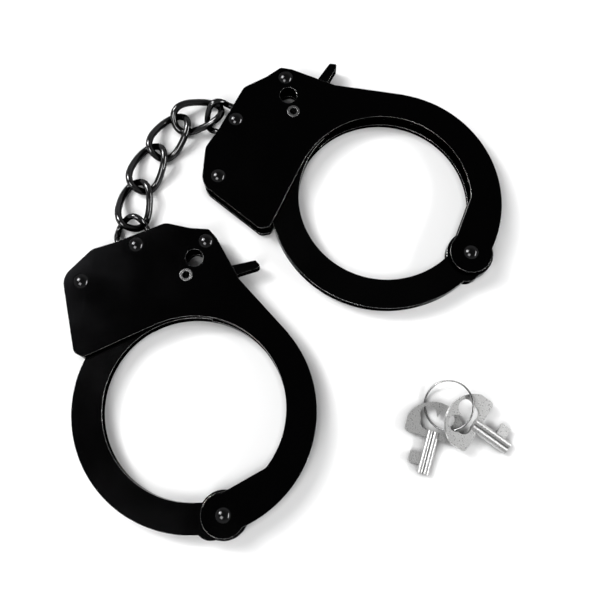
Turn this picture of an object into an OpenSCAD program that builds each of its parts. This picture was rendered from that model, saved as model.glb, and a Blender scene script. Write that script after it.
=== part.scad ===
// Pair of chain handcuffs with two keys on a split ring, lying flat.
// Each cuff is a riveted lock case with a double arm, and a single toothed strand that swings through it.
// The chain lies on the ground between the cuffs. Millimetres, +Z up.

/* [Cuff] */
// Radius of the wrist opening in the two cheek plates
wrist_r = 29.5; // [29.2:0.1:29.8]
// Outer radius of the double arm
bow_r = 38.3; // [38:0.1:38.8]
// Thickness of one cheek plate
plate_t = 2; // [1.6:0.1:2.4]
// Space between the two cheek plates
core_t = 4.5; // [4.3:0.1:5]
// Diameter of the round keyhole
keyhole_d = 5.9; // [5:0.1:6]
// How proud the domed rivet heads stand
head_h = 1.1; // [0.8:0.1:1.4]

/* [Strand] */
// Inner radius of the single strand
strand_in_r = 29; // [28.7:0.1:29.2]
// Outer radius of the single strand
strand_out_r = 38.7; // [38.2:0.1:38.9]
// Side play between the strand and each cheek plate
strand_play = 0.2; // [0.15:0.05:0.3]
// Number of ratchet teeth
tooth_count = 13; // [8:1:13]

/* [Chain] */
// Wire diameter of a chain link
link_wire_d = 2.3; // [2:0.1:2.4]
// Wire diameter of the oval ring that joins the chain to a cuff
end_wire_d = 2; // [1.6:0.1:2]

/* [Keys] */
// Thickness of a key's bow
bow_t = 1.3; // [1:0.1:1.3]
// Wire diameter of the split ring
split_wire_d = 0.5; // [0.4:0.05:0.55]

/* [Hidden] */
$fn = 96;
CUFF_PIECES = ["cheek_bottom", "cheek_top", "lock_frame", "strand", "pawl_lever", "pawl_spring",
    "pawl_eyelet", "rivet_left", "rivet_middle", "rivet_right", "pivot_rivet"];
SIDES = ["a", "b"];
LINK_COUNT = 4;

// The whole layout is moved so that the origin lies under the middle of its box.
layout_mid = [-4.96, 3.15];

// Where each cuff lies: the middle of its double arm's arc, and its turn about +Z
cuff_at = [[-33, -37.6, 0], [28.7, 32.5, 0]];
cuff_turn = [0, 39.3];
// Middles of the wrist opening's round part and of the strand's arc, from the middle of the cuff
wrist_c = [-0.8, 0.9];
strand_c = [-0.3, 1.2];
// How far each strand has swung open from the drawn arc, and how far each pawl is lifted
strand_open = [0.3, -2.4];
pawl_lift = [0, 3.5];

cuff_t = 2 * plate_t + core_t;
core_z = plate_t;

// Points of a cuff, from the middle of its double arm's arc, with the case above and the pivot below
pivot_at = [9.6, -31.5];
pivot_dist = norm(pivot_at);
pivot_az = atan2(pivot_at.y, pivot_at.x);
key_at = [-1.5, 49.8];
eyelet_at = [-4, 44];
rivet_left_at = [-38.1, 42];
rivet_middle_at = [-20.8, 54.4];
rivet_right_at = [2.1, 55.7];

rivet_r = 1.5;
pivot_r = 2.2;
head_r = 2.5;
foot_r = 2.3;
foot_h = 0.9;
bore_gap = 0.05;

// Corners of the lock case's outline, each with its rounding radius
case_pts = [
    [29.4, 24.7, 0], [13.3, 42.6, 1.5], [5.6, 56.6, 1.5], [3, 59.6, 1.5], [-3.2, 60, 6],
    [-11.4, 61.8, 4], [-27.6, 55.1, 8], [-35.2, 52.7, 5], [-44.2, 43.3, 6], [-39, 18.6, 2.5],
    [-36, 17, 1.2], [-15.2, 26.8, 0], [-8, 10, 0], [20, 8, 0]];

// Rounded end of the double arm, and the strand's eye and heel that show around it
end_r = 6.9;
eye_r = 7.7;
heel_r = 5.4;
heel_at = pivot_at + [-3.8, -2.2];
// Radii of the strand's sweep, its tooth tips and its tooth roots, and tooth angles, from the pivot
sweep_r = 75.5;
tooth_tip_r = 70.9;
tooth_root_r = 69.4;
tooth_pitch = 2;
tooth_first = 95.7;
strand_tip_az = 80;

// Hollow rivet that the pawl turns on
eyelet_in_r = 1.25;
eyelet_out_r = 1.65;
eyelet_lip_r = 2.1;
eyelet_lip_t = 0.35;

// Links: oval centreline, half length and half width, and the twist that lets them lie flat
link_half_l = 8.4;
link_half_w = 5.06;
link_twist = -0.079;
// How square the ovals are: 2 is an ellipse
oval_power = 2.35;
link_r = link_wire_d / 2;
link_mid_z = 3.05;
link_points = 56;
// Middle and heading of each link, counted from cuff b's end
link_at = [[-35.5, 64.9], [-45.2, 57.4], [-52.2, 45.7], [-55.9, 32.1]];
link_turn = [12.1, 58.3, 69.3, 84.5];

// End rings: half length and half width, distance from rivet to middle, and the twist outside the cheeks
end_half_l = 6.78;
end_half_w = 5.33;
end_offset = 3.98;
end_twist = 0.19;
end_twist_from = 1.6;
end_wire_r = end_wire_d / 2;
end_z = cuff_t / 2;
end_turn = [116.1, 157.2];

// Keys: bow width and height, the barrel's two tubes, and the bit
bow_w = 18.4;
bow_h = 11.6;
barrel_r = 1.15;
barrel_gap = 0.95;
barrel_l = 11.4;
barrel_root = 2.2;
bit_w = 3.4;
bit_l = 3.4;
bit_tip = 2.4;
// Middle of each bow's straight edge, and the key's turns
key_places = [
    [[41.9, -45.6, 1.8], [0, 3, -106.5]],
    [[56.7, -42.5, 3.6], [180, 12.3, -33.7]]];
split_r = 7.9;
split_at = [47.4, -35.4, 3.8];
split_tilt = 23.9;
split_roll = 3;
// Gap between its two turns, and where and over what half angle they step over
split_gap = 0.04;
step_at = 100;
step_half = 24;
split_step = 6;

FACE = 0.01;

// ---------- helpers ----------

function unit(v) = v / norm(v);
function dir(az) = [cos(az), sin(az)];
function arc(c, r, a0, a1, n) = [for (i = [0:n]) c + r * dir(a0 + (a1 - a0) * i / n)];

// Rounds each corner of a closed outline by its own radius
function fillet(a, p, b, r) =
    let (u = unit([a.x - p.x, a.y - p.y]), v = unit([b.x - p.x, b.y - p.y]),
        half = acos(u * v) / 2, back = r / tan(half), q = [p.x, p.y],
        c = q + unit(u + v) * r / sin(half),
        s = q + u * back - c, e = q + v * back - c,
        a0 = atan2(s.y, s.x), sweep = atan2(s.x * e.y - s.y * e.x, s * e))
    r == 0 ? [q] : arc(c, r, a0, a0 + sweep, 6);
function rounded(pts) =
    let (n = len(pts))
    [for (i = [0:n - 1]) each fillet(pts[(i + n - 1) % n], pts[i], pts[(i + 1) % n], pts[i][2])];

// Moves each edge of a counter-clockwise outline inwards by d
function inset_corner(a, p, b, d) =
    let (u = unit([p.x - a.x, p.y - a.y]), v = unit([b.x - p.x, b.y - p.y]),
        nu = [-u.y, u.x], nv = [-v.y, v.x], k = d / (1 + nu * nv))
    [p.x + k * (nu.x + nv.x), p.y + k * (nu.y + nv.y), p[2]];
function inset(pts, d) =
    let (n = len(pts))
    [for (i = [0:n - 1]) inset_corner(pts[(i + n - 1) % n], pts[i], pts[(i + 1) % n], d)];

// Sector of a disc about c, from azimuth a0 to a1
module sector(c, r, a0, a1) {
    n = ceil(abs(a1 - a0) / 3);
    far = r / cos(1.5) + 1;
    intersection() {
        translate(c) circle(r = r, $fn = 180);
        polygon(concat([c], arc(c, far, a0, a1, n)));
    }
}

module ring_sector(c, r_in, r_out, a0, a1) {
    difference() {
        sector(c, r_out, a0, a1);
        translate(c) circle(r = r_in, $fn = 180);
    }
}

// Round wire along a path; ref is a direction that the path never takes
module wire(path, r, sides, ref, closed) {
    m = len(path);
    pts = [for (i = [0:m - 1])
        let (a = path[closed ? (i + m - 1) % m : max(i - 1, 0)],
            b = path[closed ? (i + 1) % m : min(i + 1, m - 1)],
            t = unit(b - a), side = unit(cross(t, ref)), up = cross(side, t))
        for (k = [0:sides - 1])
            path[i] + r * (cos(360 * k / sides) * side + sin(360 * k / sides) * up)];
    walls = [for (i = [0:closed ? m - 1 : m - 2]) for (k = [0:sides - 1])
        let (j = (i + 1) % m, l = (k + 1) % sides)
        each [[i * sides + k, i * sides + l, j * sides + l],
            [i * sides + k, j * sides + l, j * sides + k]]];
    caps = closed ? [] : [[for (k = [sides - 1:-1:0]) k],
        [for (k = [0:sides - 1]) (m - 1) * sides + k]];
    polyhedron(points = pts, faces = concat(walls, caps), convexity = 8);
}

// Centreline of an oval link with n points
function bulge(v) = sign(v) * pow(abs(v), 2 / oval_power);
function oval(half_l, half_w, n) =
    [for (i = [0:n - 1]) let (t = (i + 0.5) * 360 / n) [half_l * bulge(cos(t)), half_w * bulge(sin(t))]];

// Spherical cap that stands on z = 0
module dome(r, h) {
    ball = (r * r + h * h) / (2 * h);
    intersection() {
        translate([0, 0, h - ball]) sphere(r = ball);
        cylinder(r = r + 1, h = h + 1);
    }
}

// Rivet through both cheeks: domed on top, peened flush below
module rivet(at, r) {
    translate([at.x, at.y, 0]) {
        translate([0, 0, cuff_t]) dome(head_r, head_h);
        cylinder(r = r, h = cuff_t);
        cylinder(r1 = foot_r, r2 = r, h = foot_h);
    }
}

// Hole for a rivet through a plate at height z0, with its countersink below when low is true
module rivet_hole(at, r, low) {
    translate([at.x, at.y, 0]) {
        translate([0, 0, -1]) cylinder(r = r + bore_gap, h = cuff_t + 2);
        if (low) {
            translate([0, 0, -FACE])
                cylinder(r1 = foot_r + bore_gap, r2 = r + bore_gap, h = foot_h + bore_gap);
        }
    }
}

// ---------- cuff, drawn about the middle of its double arm's arc ----------

// Slope of the straight inner side of the arm, and a point of it beside the rounded end
chord_slope = 29.3;
chord_inset = 0.8;
chord_start = pivot_at + (end_r - chord_inset) * dir(chord_slope + 90);
chord_l = 40;

module wrist_opening_2d() {
    difference() {
        translate(wrist_c) circle(r = wrist_r, $fn = 180);
        polygon([chord_start, pivot_at, pivot_at + [chord_l, 0], chord_start + chord_l * dir(chord_slope)]);
    }
}

module cheek_2d() {
    difference() {
        union() {
            sector([0, 0], bow_r, pivot_az, 60);
            polygon(rounded(case_pts));
        }
        wrist_opening_2d();
        translate(key_at) circle(d = keyhole_d);
    }
    translate(pivot_at) circle(r = end_r);
}

module cheek(z0, low) {
    difference() {
        translate([0, 0, z0]) linear_extrude(plate_t) cheek_2d();
        for (at = [rivet_left_at, rivet_middle_at, rivet_right_at]) rivet_hole(at, rivet_r, low);
        rivet_hole(pivot_at, pivot_r, low);
        translate([eyelet_at.x, eyelet_at.y, -1]) cylinder(r = eyelet_out_r + bore_gap, h = cuff_t + 2);
        if (low) {
            translate([eyelet_at.x, eyelet_at.y, -1])
                cylinder(r = eyelet_lip_r + bore_gap, h = 1 + eyelet_lip_t + bore_gap);
        }
    }
}

module cheek_bottom() {
    color("#101010") cheek(0, true);
}

module cheek_top() {
    color("#161616") cheek(plate_t + core_t, false);
}

// Spacer between the cheeks: walls, rivet bosses and the pocket for the chain's ring
frame_inset = 0.5;
boss_r = 3;
pocket_r = 7.1;
mouth_w = 14;
mouth_l = 12;
mouth_az = 115.6;
// Well for the pawl, its lever, its spring and the key; a web ties the right rivet's boss to the wall
well_pts = [
    [16, 38, 0], [16, 51, 0], [8.3, 50.8, 0.6], [6.4, 54, 0.8], [3, 56.8, 1], [-7.5, 56.6, 2.5],
    [-11.6, 51, 3], [-11.6, 38, 0]];
web_pts = [rivet_right_at, [5.1, 52.6], [3.1, 52.6]];

module frame_2d() {
    difference() {
        polygon(rounded(inset(case_pts, frame_inset)));
        translate(pivot_at) circle(r = sweep_r, $fn = 180);
        translate(rivet_middle_at) circle(r = pocket_r);
        translate(rivet_middle_at) rotate(mouth_az) translate([0, -mouth_w / 2]) square([mouth_l, mouth_w]);
        difference() {
            polygon(rounded(well_pts));
            translate(rivet_right_at) circle(r = boss_r);
            polygon(web_pts);
        }
    }
}

module lock_frame() {
    color("#1a1a1a") difference() {
        translate([0, 0, core_z]) linear_extrude(core_t) frame_2d();
        for (at = [rivet_left_at, rivet_right_at]) rivet_hole(at, rivet_r, false);
    }
}

// Saw teeth on the outer edge: steep on the side that holds, sloping on the side that slips
tooth_slope = 0.9;
tooth_bed = 4;

module strand_teeth() {
    teeth = [for (i = [0:tooth_count - 1]) let (a = tooth_first + i * tooth_pitch)
        each [pivot_at + tooth_root_r * dir(a), pivot_at + tooth_tip_r * dir(a + tooth_slope * tooth_pitch)]];
    last = tooth_first + tooth_count * tooth_pitch;
    polygon(concat(teeth,
        [pivot_at + tooth_root_r * dir(last), pivot_at + (tooth_root_r - 1) * dir(last + 1)],
        arc(pivot_at, tooth_root_r - tooth_bed, last + 1, tooth_first, 9)));
}

// Clearance cut under the teeth and before the first one, and the rounded nose's set-back and play
tooth_relief = 0.6;
tooth_lead = 4;
nose_back = 1.5;
nose_play = 0.1;

module strand_2d() {
    mid_r = (strand_in_r + strand_out_r) / 2;
    nose_r = (strand_out_r - strand_in_r) / 2 - nose_play;
    difference() {
        ring_sector(strand_c, strand_in_r, strand_out_r, strand_tip_az, 360 + pivot_az);
        ring_sector(pivot_at, tooth_root_r - tooth_relief, sweep_r, tooth_first - tooth_lead,
            tooth_first + tooth_count * tooth_pitch);
    }
    translate(strand_c + mid_r * dir(strand_tip_az + nose_back)) circle(r = nose_r);
    translate(pivot_at) circle(r = eye_r);
    translate(heel_at) circle(r = heel_r);
    strand_teeth();
}

module strand(open) {
    color("#0c0c0c") difference() {
        translate([0, 0, core_z + strand_play])
            linear_extrude(core_t - 2 * strand_play)
                translate(pivot_at) rotate(open) translate(-pivot_at) strand_2d();
        rivet_hole(pivot_at, pivot_r, false);
    }
}

// Pawl and release lever in one piece, turning on the eyelet
pawl_boss_r = 3;
pawl_gap_r = 71.3;
lever_pts = [
    [9.6, 40.1, 0], [10.2, 43.4, 0.6], [13.2, 45, 1], [18.9, 46.8, 0.5], [19.9, 47.8, 0.5],
    [18.4, 49.6, 0.6], [10.4, 47.8, 1], [6.4, 47, 0], [1.6, 47, 2], [-1.4, 46, 2], [-4, 44, 0],
    [-3.4, 42, 0]];
horn_pts = [[-4, 44, 0], [-5.4, 46.5, 0.4], [-7.4, 51, 0.6], [-9.2, 50.4, 0.6], [-6.9, 44.5, 0]];
pawl_teeth = 4;
pawl_tooth_first = 90.3;
pawl_tooth_h = 1.2;
pawl_play = 0.08;

// Sharp outline point at a radius and azimuth from the strand's pivot
function pawl_pt(r, a) = let (p = pivot_at + r * dir(a)) [p.x, p.y, 0];
function pawl_tooth_pts() =
    [for (i = [pawl_teeth - 1:-1:0])
        let (a = pawl_tooth_first + i * tooth_pitch, crest_a = a + (1 - tooth_slope) * tooth_pitch)
            each [pawl_pt(pawl_gap_r + pawl_tooth_h, crest_a), pawl_pt(pawl_gap_r, a)]];

module pawl_lever(lift) {
    color("#202020") translate(eyelet_at) rotate(lift) translate(-eyelet_at)
        difference() {
            translate([0, 0, core_z + strand_play]) linear_extrude(core_t - 2 * strand_play) union() {
                translate(eyelet_at) circle(r = pawl_boss_r);
                polygon(rounded(concat(lever_pts,
                    [pawl_pt(pawl_gap_r, pawl_tooth_first + pawl_teeth * tooth_pitch)],
                    pawl_tooth_pts())));
                polygon(rounded(horn_pts));
            }
            translate([eyelet_at.x, eyelet_at.y, 0])
                cylinder(r = eyelet_out_r + pawl_play, h = cuff_t);
        }
}

// Small coil spring that presses the lever down, seated under the right rivet's boss
spring_r = 1.1;
spring_wire_r = 0.22;
spring_turns = 4.5;
spring_x = 4.1;
spring_y = [47.35, 52.3];

module pawl_spring(lift) {
    steps = spring_turns * 12;
    low_y = spring_y[0] + (spring_x + spring_r - eyelet_at.x) * tan(lift);
    path = [for (i = [0:steps]) [spring_x + spring_r * cos(i * 30),
        low_y + (spring_y[1] - low_y) * i / steps, cuff_t / 2 + spring_r * sin(i * 30)]];
    color("silver") wire(path, spring_wire_r, 6, [0, 1, 0], false);
}

// Hollow rivet that the pawl turns on, with a rolled lip at each end
module pawl_eyelet() {
    color("#2a2a2a") translate([eyelet_at.x, eyelet_at.y, 0]) difference() {
        union() {
            cylinder(r = eyelet_out_r, h = cuff_t + eyelet_lip_t);
            cylinder(r = eyelet_lip_r, h = eyelet_lip_t);
            translate([0, 0, cuff_t]) cylinder(r = eyelet_lip_r, h = eyelet_lip_t);
        }
        translate([0, 0, -1]) cylinder(r = eyelet_in_r, h = cuff_t + 3);
    }
}

module cuff_piece(name, i) {
    translate(cuff_at[i]) rotate(cuff_turn[i]) cuff_piece_in_place(name, i);
}

module cuff_piece_in_place(name, i) {
    if (name == "cheek_bottom") cheek_bottom();
    if (name == "cheek_top") cheek_top();
    if (name == "lock_frame") lock_frame();
    if (name == "strand") strand(strand_open[i]);
    if (name == "pawl_lever") pawl_lever(pawl_lift[i]);
    if (name == "pawl_spring") pawl_spring(pawl_lift[i]);
    if (name == "pawl_eyelet") pawl_eyelet();
    if (name == "rivet_left") color("#1c1c1c") rivet(rivet_left_at, rivet_r);
    if (name == "rivet_middle") color("#1c1c1c") rivet(rivet_middle_at, rivet_r);
    if (name == "rivet_right") color("#1c1c1c") rivet(rivet_right_at, rivet_r);
    if (name == "pivot_rivet") color("#1c1c1c") rivet(pivot_at, pivot_r);
}

// ---------- chain ----------

// Oval ring caught on the middle rivet: flat between the cheeks, twisted outside them
module end_ring(i) {
    path = [for (p = oval(end_half_l, end_half_w, link_points))
        [p.x + end_offset, p.y, end_z - end_twist * max(0, p.x - end_twist_from) * p.y]];
    place_turn = cuff_turn[i];
    at = cuff_at[i] + [
        rivet_middle_at.x * cos(place_turn) - rivet_middle_at.y * sin(place_turn),
        rivet_middle_at.x * sin(place_turn) + rivet_middle_at.y * cos(place_turn), 0];
    color("#303030") translate(at) rotate(end_turn[i]) wire(path, end_wire_r, 14, [0, 0, 1], true);
}

// Height of a link's centreline at each of its ends: the outer two rise to the cuffs' rings
function link_rise(i) = [i == LINK_COUNT ? end_z : link_mid_z, i == 1 ? end_z : link_mid_z];

module chain_link(i) {
    z = link_rise(i);
    path = [for (p = oval(link_half_l, link_half_w, link_points))
        [p.x, p.y, link_twist * p.x * p.y + z[0] + (z[1] - z[0]) * (p.x + link_half_l) / (2 * link_half_l)]];
    color("#303030") translate([link_at[i - 1].x, link_at[i - 1].y, 0]) rotate(link_turn[i - 1])
        wire(path, link_r, 16, [0, 0, 1], true);
}

// ---------- keys ----------

// A key lies along +X from the middle of its bow's straight edge, with its bit on the -Y side.
// The bow is round on its outer side, flat on its two cheeks, and has a heart-shaped hole.
bow_round_r = bow_w / 2 + 0.6;
bow_corner_r = 1.4;
heart_lobe_at = [-7.1, 2.9];
heart_lobe_r = 2.7;
heart_base_at = [-4.6, 2.4];
heart_base_r = 2.5;
heart_depth = 4.9;

module key_bow_2d() {
    side = asin(bow_w / 2 / bow_round_r);
    difference() {
        polygon(rounded(concat(
            [[0, -bow_w / 2, bow_corner_r], [0, bow_w / 2, bow_corner_r]],
            [for (p = arc([bow_round_r - bow_h, 0], bow_round_r, 180 - side, 180 + side, 20))
                [p.x, p.y, 0]])));
        for (s = [-1, 1]) {
            translate([heart_lobe_at.x, heart_lobe_at.y * s]) circle(r = heart_lobe_r);
            translate([heart_base_at.x, heart_base_at.y * s]) circle(r = heart_base_r);
        }
        translate([heart_lobe_at.x, -heart_lobe_at.y]) square([heart_depth, 2 * heart_lobe_at.y]);
    }
}

module key_body() {
    translate([0, 0, -bow_t / 2]) linear_extrude(bow_t) key_bow_2d();
    for (s = [-1, 1]) {
        translate([-barrel_root, barrel_gap * s, 0])
            rotate([0, 90, 0]) cylinder(r = barrel_r, h = barrel_l + barrel_root);
    }
    translate([barrel_l - bit_tip - bit_l, -barrel_gap - barrel_r - bit_w, -bow_t / 2])
        cube([bit_l, barrel_r + bit_w, bow_t]);
}

module key(i) {
    color("#c8c8c8") translate(key_places[i][0]) rotate([0, 0, key_places[i][1][2]])
        rotate([0, key_places[i][1][1], 0]) rotate([key_places[i][1][0], 0, 0]) key_body();
}

// Split ring that carries both keys: two turns of wire, one on the other, that step over once
module split_ring() {
    lift = (split_wire_d + split_gap) / 2;
    path = [for (t = [step_half:split_step:720 - step_half])
        let (k = min(1, max(0, (t - 360 + step_half) / (2 * step_half))))
        [split_r * cos(t + step_at), split_r * sin(t + step_at), lift * (2 * k * k * (3 - 2 * k) - 1)]];
    color("#b0b0b0") translate(split_at) rotate([split_roll, 0, 0]) rotate([0, -split_tilt, 0])
        wire(path, split_wire_d / 2, 8, [0, 0, 1], false);
}

// ---------- nodes ----------

module centred() {
    translate([-layout_mid.x, -layout_mid.y, 0]) children();
}

for (i = [0:1]) {
    for (p = CUFF_PIECES) {
        centred() cuff_piece(p, i);
    }
    centred() end_ring(i);
}
for (i = [1:LINK_COUNT]) {
    centred() chain_link(i);
}
centred() key(0);  // key_1
centred() key(1);  // key_2
centred() split_ring();
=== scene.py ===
import math

import bpy
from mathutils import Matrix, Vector

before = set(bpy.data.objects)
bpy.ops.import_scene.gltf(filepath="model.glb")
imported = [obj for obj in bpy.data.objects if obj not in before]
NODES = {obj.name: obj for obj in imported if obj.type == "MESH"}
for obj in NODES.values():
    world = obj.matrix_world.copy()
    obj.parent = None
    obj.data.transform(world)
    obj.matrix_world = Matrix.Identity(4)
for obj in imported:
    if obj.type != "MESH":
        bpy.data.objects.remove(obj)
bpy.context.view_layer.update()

MM = 0.001

# ---------- materials ----------


def new_material(name):
    """An empty node material: its tree, its Principled shader, and its object-space coordinates."""
    mat = bpy.data.materials.new(name)
    mat.use_nodes = True
    tree = mat.node_tree
    shader = tree.nodes["Principled BSDF"]
    coords = tree.nodes.new("ShaderNodeTexCoord").outputs["Object"]
    return mat, tree, shader, coords


def noise(tree, coords, size, detail=3.0, rough=0.5, stretch=(1, 1, 1)):
    """Noise whose blotches are about size metres across, from 0 to 1."""
    mapping = tree.nodes.new("ShaderNodeMapping")
    mapping.inputs["Scale"].default_value = stretch
    tree.links.new(coords, mapping.inputs["Vector"])
    node = tree.nodes.new("ShaderNodeTexNoise")
    node.inputs["Scale"].default_value = 1 / size
    node.inputs["Detail"].default_value = detail
    node.inputs["Roughness"].default_value = rough
    tree.links.new(mapping.outputs["Vector"], node.inputs["Vector"])
    return node.outputs["Fac"]


def remap(tree, value, low, high, to_low, to_high):
    """Stretches value from low..high to to_low..to_high, held at both ends."""
    node = tree.nodes.new("ShaderNodeMapRange")
    node.inputs["From Min"].default_value = low
    node.inputs["From Max"].default_value = high
    node.inputs["To Min"].default_value = to_low
    node.inputs["To Max"].default_value = to_high
    tree.links.new(value, node.inputs["Value"])
    return node.outputs["Result"]


def blend(tree, value, dark, light):
    """Colour between dark and light as value goes from 0 to 1."""
    node = tree.nodes.new("ShaderNodeMix")
    node.data_type = "RGBA"
    node.inputs["A"].default_value = (*dark, 1)
    node.inputs["B"].default_value = (*light, 1)
    tree.links.new(value, node.inputs["Factor"])
    return node.outputs["Result"]


def add(tree, a, b):
    """Sum of two numbers."""
    node = tree.nodes.new("ShaderNodeMath")
    node.operation = "ADD"
    tree.links.new(a, node.inputs[0])
    tree.links.new(b, node.inputs[1])
    return node.outputs["Value"]


def painted_nearness_shade(tree, reach, dark):
    """Painted shade: falls from 1 in the open to dark where surfaces crowd in within reach metres.
    """
    crowded = 0.35
    node = tree.nodes.new("ShaderNodeAmbientOcclusion")
    node.samples = 8
    node.inputs["Distance"].default_value = reach
    return remap(tree, node.outputs["AO"], crowded, 1, dark, 1)


def shade_by(tree, color, factor):
    """Multiplies a colour by a number."""
    node = tree.nodes.new("ShaderNodeVectorMath")
    node.operation = "SCALE"
    tree.links.new(color, node.inputs[0])
    tree.links.new(factor, node.inputs["Scale"])
    return node.outputs["Vector"]


def within(tree, coords, centre, radius):
    """1 close to a point, falling to 0 at radius metres from it."""
    full_within = 0.7 * radius
    node = tree.nodes.new("ShaderNodeVectorMath")
    node.operation = "DISTANCE"
    tree.links.new(coords, node.inputs[0])
    node.inputs[1].default_value = centre
    return remap(tree, node.outputs["Value"], full_within, radius, 1, 0)


def crossfade(tree, factor, a, b):
    """a where factor is 0, b where it is 1."""
    node = tree.nodes.new("ShaderNodeMix")
    node.data_type = "FLOAT"
    tree.links.new(factor, node.inputs["Factor"])
    tree.links.new(a, node.inputs["A"])
    tree.links.new(b, node.inputs["B"])
    return node.outputs["Result"]


def bump(tree, shader, height, depth, strength):
    """Raises the surface by height times depth metres."""
    node = tree.nodes.new("ShaderNodeBump")
    node.inputs["Strength"].default_value = strength
    node.inputs["Distance"].default_value = depth
    tree.links.new(height, node.inputs["Height"])
    tree.links.new(node.outputs["Normal"], shader.inputs["Normal"])


# Sizes of the marks in the black plating
CLOUD = 14 * MM
SPECK = 0.45 * MM
SCRATCH = 0.9 * MM
SCRATCH_STRETCH = (1, 0.05, 1)
SCRATCH_ROUGH = 0.05
# Black plating stays dark even where it is seen at a glancing angle
BLACK_GLANCE = (0.12, 0.12, 0.12, 1)


def black_finish(name, dark, light, rough_low, rough_high, grain):
    """Black plating on steel: faintly cloudy sheen, fine grain and light handling scratches."""
    mat, tree, shader, coords = new_material(name)
    clouds = noise(tree, coords, CLOUD, detail=3, rough=0.5)
    specks = noise(tree, coords, SPECK, detail=3, rough=0.6)
    scratches = noise(tree, coords, SCRATCH, detail=2, stretch=SCRATCH_STRETCH)
    tree.links.new(
        blend(tree, remap(tree, specks, 0.35, 0.65, 0, 1), dark, light),
        shader.inputs["Base Color"],
    )
    sheen = add(
        tree,
        remap(tree, clouds, 0.3, 0.7, rough_low, rough_high),
        remap(tree, scratches, 0.62, 0.85, 0, SCRATCH_ROUGH),
    )
    tree.links.new(sheen, shader.inputs["Roughness"])
    shader.inputs["Metallic"].default_value = 1.0
    shader.inputs["Specular Tint"].default_value = BLACK_GLANCE
    bump(tree, shader, specks, grain, 0.35)
    return mat


def bright_metal(
    name, dark, light, rough_low, rough_high, grain, glance, metallic=1.0, pits=0, painted_shade=None
):
    """Plated metal with cloudy tarnish, whose blotches are about grain metres across.

    glance is how bright it is when seen at a glancing angle, and pits the depth in metres of the
    small pits of a die casting. The last argument is the reach in metres and the darkest factor
    of painted shade that darkens the colour where other surfaces crowd close.
    """
    mat, tree, shader, coords = new_material(name)
    clouds = noise(tree, coords, grain, detail=4, rough=0.6)
    fine = noise(tree, coords, grain / 6, detail=3)
    color = blend(tree, remap(tree, add(tree, clouds, fine), 0.75, 1.25, 0, 1), dark, light)
    if painted_shade:
        # Painted shade: the colour darkens where other surfaces crowd close
        color = shade_by(tree, color, painted_nearness_shade(tree, *painted_shade))
    tree.links.new(color, shader.inputs["Base Color"])
    tree.links.new(
        remap(tree, clouds, 0.3, 0.7, rough_high, rough_low), shader.inputs["Roughness"]
    )
    shader.inputs["Metallic"].default_value = metallic
    shader.inputs["Specular Tint"].default_value = (glance, glance, glance, 1)
    if pits > 0:
        bump(tree, shader, add(tree, clouds, fine), pits, 0.8)
    return mat


PLATE_BLACK = black_finish(
    "plate_black",
    dark=(0.005, 0.005, 0.0055),
    light=(0.010, 0.010, 0.0105),
    rough_low=0.09,
    rough_high=0.16,
    grain=0.002 * MM,
)
STRAND_BLACK = black_finish(
    "strand_black",
    dark=(0.006, 0.006, 0.0065),
    light=(0.014, 0.014, 0.0145),
    rough_low=0.12,
    rough_high=0.20,
    grain=0.003 * MM,
)
# Painted highlight: the rounded edges of the black plates are far brighter than their faces, so
# they show as thin light lines
EDGE_PAINTED_HIGHLIGHT = bright_metal(
    "edge_painted_highlight",
    dark=(0.12, 0.12, 0.1205),
    light=(0.55, 0.55, 0.552),
    rough_low=0.14,
    rough_high=0.28,
    grain=5 * MM,
    glance=0.1,
)
RIVET_BLACK = bright_metal(
    "rivet_black",
    dark=(0.034, 0.034, 0.0345),
    light=(0.05, 0.05, 0.051),
    rough_low=0.07,
    rough_high=0.12,
    grain=1.5 * MM,
    glance=0.05,
)
EYELET_WORN = bright_metal(
    "eyelet_worn",
    dark=(0.16, 0.16, 0.161),
    light=(0.50, 0.50, 0.50),
    rough_low=0.16,
    rough_high=0.30,
    grain=1.2 * MM,
    glance=0.6,
)
# Painted shade: the links darken steeply where they crowd each other and the paper, on their lower
# sides
CHAIN_BLACK = bright_metal(
    "chain_black",
    dark=(0.075, 0.075, 0.076),
    light=(0.115, 0.115, 0.116),
    rough_low=0.04,
    rough_high=0.08,
    grain=2 * MM,
    glance=0.1,
    painted_shade=(9 * MM, 0.04),
)
SPRING_STEEL = bright_metal(
    "spring_steel",
    dark=(0.36, 0.36, 0.37),
    light=(0.5, 0.5, 0.51),
    rough_low=0.25,
    rough_high=0.4,
    grain=1 * MM,
    glance=1,
)
# Painted shade: the keys darken where they crowd each other, the ring and the paper
KEY_NICKEL = bright_metal(
    "key_nickel",
    dark=(0.42, 0.42, 0.415),
    light=(0.66, 0.66, 0.655),
    rough_low=0.24,
    rough_high=0.36,
    grain=0.6 * MM,
    glance=1,
    metallic=0.72,
    pits=0.02 * MM,
    painted_shade=(2.2 * MM, 0.12),
)
# Painted shade: the keys' rounded edges are darker than their faces, drawing dark outlines, and
# darker still where crowded
KEY_EDGE_SHADE = bright_metal(
    "key_edge_painted_shade",
    dark=(0.20, 0.20, 0.198),
    light=(0.36, 0.36, 0.356),
    rough_low=0.10,
    rough_high=0.16,
    grain=1.5 * MM,
    glance=0.6,
    painted_shade=(1.5 * MM, 0.1),
)
RING_NICKEL = bright_metal(
    "ring_nickel",
    dark=(0.18, 0.18, 0.18),
    light=(0.34, 0.34, 0.34),
    rough_low=0.12,
    rough_high=0.22,
    grain=1 * MM,
    glance=0.8,
)

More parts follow.
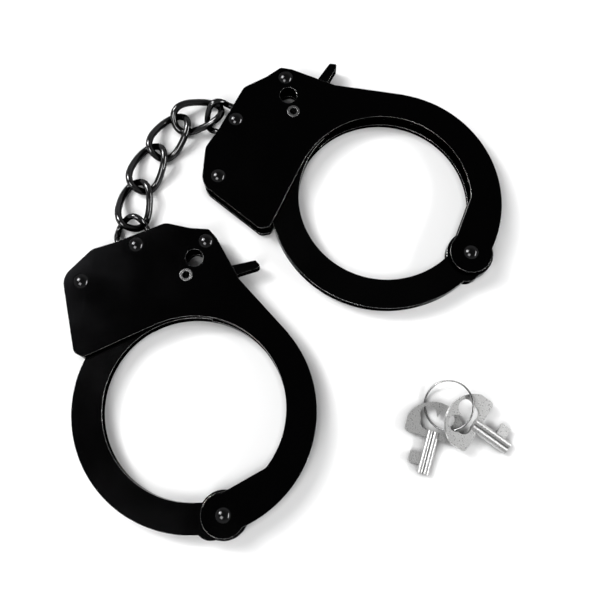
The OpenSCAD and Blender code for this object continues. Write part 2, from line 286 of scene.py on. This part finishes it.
FINISH = {
    "cheek_bottom": PLATE_BLACK,
    "cheek_top": PLATE_BLACK,
    "lock_frame": PLATE_BLACK,
    "strand": STRAND_BLACK,
    "pawl_lever": STRAND_BLACK,
    "pawl_spring": SPRING_STEEL,
    "pawl_eyelet": EYELET_WORN,
    "rivet": RIVET_BLACK,
    "pivot_rivet": RIVET_BLACK,
    "end_ring": CHAIN_BLACK,
    "chain_link": CHAIN_BLACK,
    "key": KEY_NICKEL,
    "split_ring": RING_NICKEL,
}

# Width of the rounded edge that each flat piece is given
EDGE = {
    "cheek_bottom": 0.30 * MM,
    "cheek_top": 0.30 * MM,
    "lock_frame": 0.20 * MM,
    "strand": 0.45 * MM,
    "pawl_lever": 0.30 * MM,
    "pawl_eyelet": 0.12 * MM,
    "rivet": 0.08 * MM,
    "pivot_rivet": 0.08 * MM,
    "key": 0.32 * MM,
}


def kind(node, table):
    """The table's entry for a node, by the longest name that the node's name starts with."""
    names = [k for k in table if node.startswith(k)]
    return table[max(names, key=len)] if names else None


# Points nearer than this are one point, faces that turn less than the flat angle are one face,
# and edges that turn more than the sharp angle are rounded
WELD_GAP = 0.002 * MM
FLAT_ANGLE = math.radians(0.3)
SHARP_ANGLE = math.radians(32)


def refine(obj, edge, rim):
    """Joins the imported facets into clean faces, rounds the sharp edges and evens out the shading.

    When rim is True the rounded edges take the object's second material.
    """
    weld = obj.modifiers.new("weld", "WELD")
    weld.merge_threshold = WELD_GAP
    if edge:
        planar = obj.modifiers.new("planar", "DECIMATE")
        planar.decimate_type = "DISSOLVE"
        planar.angle_limit = FLAT_ANGLE
        bevel = obj.modifiers.new("edge", "BEVEL")
        bevel.width = edge
        bevel.segments = 3
        bevel.limit_method = "ANGLE"
        bevel.angle_limit = SHARP_ANGLE
        bevel.use_clamp_overlap = True
        bevel.harden_normals = False
        if rim:
            bevel.material = 1
    normals = obj.modifiers.new("normals", "WEIGHTED_NORMAL")
    normals.keep_sharp = False
    normals.weight = 80


# Rounded-edge finish of each flat piece, by its faces' finish: painted highlight on plates, painted
# shade on keys
RIM = {PLATE_BLACK: EDGE_PAINTED_HIGHLIGHT, STRAND_BLACK: EDGE_PAINTED_HIGHLIGHT, KEY_NICKEL: KEY_EDGE_SHADE}

for name, obj in NODES.items():
    finish = kind(name, FINISH)
    rim = RIM.get(finish)
    obj.data.materials.clear()
    obj.data.materials.append(finish)
    if rim:
        obj.data.materials.append(rim)
    for face in obj.data.polygons:
        face.use_smooth = True
    refine(obj, kind(name, EDGE), rim is not None)

# ---------- floor, light and camera ----------

# The camera looks down steeply from the near side of the pair
VIEW_ELEVATION = math.radians(77)
VIEW_DISTANCE = 266.7 * MM
LOOK_AT = Vector((4.96 * MM, -3.15 * MM, 0))
TOWARDS_CAMERA = Vector((0, -math.cos(VIEW_ELEVATION), math.sin(VIEW_ELEVATION)))


def middle_of(*names):
    """Middle of the floor below some nodes."""
    corners = [NODES[n].matrix_world @ Vector(c) for n in names for c in NODES[n].bound_box]
    middle = sum(corners, Vector()) / len(corners)
    return (middle.x, middle.y, 0)


def add_floor():
    """Wide sheet of white paper that the pieces lie on."""
    half = 4.0
    mesh = bpy.data.meshes.new("floor")
    corners = [(-half, -half, 0), (half, -half, 0), (half, half, 0), (-half, half, 0)]
    mesh.from_pydata(corners, [], [(0, 1, 2, 3)])
    floor = bpy.data.objects.new("floor", mesh)
    bpy.context.scene.collection.objects.link(floor)
    mat, tree, shader, coords = new_material("floor_paper")
    mottle = noise(tree, coords, 60 * MM, detail=2)
    paper = blend(tree, mottle, (0.88, 0.88, 0.88), (0.90, 0.90, 0.90))
    # Painted contact shadow: darker where pieces crowd the paper, deepest in a fixed patch round
    # the keys
    painted_contact_shade = crossfade(
        tree,
        within(tree, coords, middle_of("key_1", "key_2"), 26 * MM),
        painted_nearness_shade(tree, 2 * MM, 0.65),
        painted_nearness_shade(tree, 4 * MM, 0.5),
    )
    tree.links.new(shade_by(tree, paper, painted_contact_shade), shader.inputs["Base Color"])
    shader.inputs["Roughness"].default_value = 0.9
    shader.inputs["Specular IOR Level"].default_value = 0.1
    mesh.materials.append(mat)


def add_lamp(name, azimuth, elevation, distance, width, height, power):
    """Rectangular soft light that faces the middle of the pair."""
    data = bpy.data.lights.new(name, "AREA")
    data.shape = "RECTANGLE"
    data.size = width
    data.size_y = height
    data.energy = power
    lamp = bpy.data.objects.new(name, data)
    az, el = math.radians(azimuth), math.radians(elevation)
    away = Vector((math.cos(az) * math.cos(el), math.sin(az) * math.cos(el), math.sin(el)))
    lamp.location = LOOK_AT + away * distance
    lamp.rotation_euler = away.to_track_quat("Z", "Y").to_euler()
    bpy.context.scene.collection.objects.link(lamp)


def add_world():
    """Soft surroundings: pale near the horizon, dark overhead."""
    world = bpy.data.worlds.new("studio")
    bpy.context.scene.world = world
    world.use_nodes = True
    tree = world.node_tree
    coords = tree.nodes.new("ShaderNodeTexCoord").outputs["Generated"]
    split = tree.nodes.new("ShaderNodeSeparateXYZ")
    tree.links.new(coords, split.inputs["Vector"])
    height = remap(tree, split.outputs["Z"], 0.35, 0.85, 0, 1)
    shade = blend(tree, height, (0.38, 0.38, 0.385), (0.12, 0.12, 0.12))
    tree.links.new(shade, tree.nodes["Background"].inputs["Color"])
    tree.nodes["Background"].inputs["Strength"].default_value = 1.0


def add_camera():
    """Camera on the line of sight, facing the middle of the pair."""
    data = bpy.data.cameras.new("camera")
    data.lens = 48
    data.sensor_width = 36
    data.clip_start = 0.01
    data.clip_end = 20
    camera = bpy.data.objects.new("camera", data)
    camera.location = LOOK_AT + TOWARDS_CAMERA * VIEW_DISTANCE
    camera.rotation_euler = TOWARDS_CAMERA.to_track_quat("Z", "Y").to_euler()
    bpy.context.scene.collection.objects.link(camera)
    bpy.context.scene.camera = camera


add_floor()
add_lamp("lamp_left", 150, 50, 0.8, 0.38, 0.38, 4.2)
add_lamp("lamp_left_core", 152, 45, 0.8, 0.10, 0.10, 1.3)
add_lamp("lamp_right", -8, 33, 0.8, 0.60, 0.10, 3.2)
add_lamp("lamp_front", -125, 58, 0.8, 0.35, 0.35, 2.6)
add_world()
add_camera()
view = bpy.context.scene.view_settings
view.view_transform = "Standard"
view.look = "None"
view.exposure = 0.0
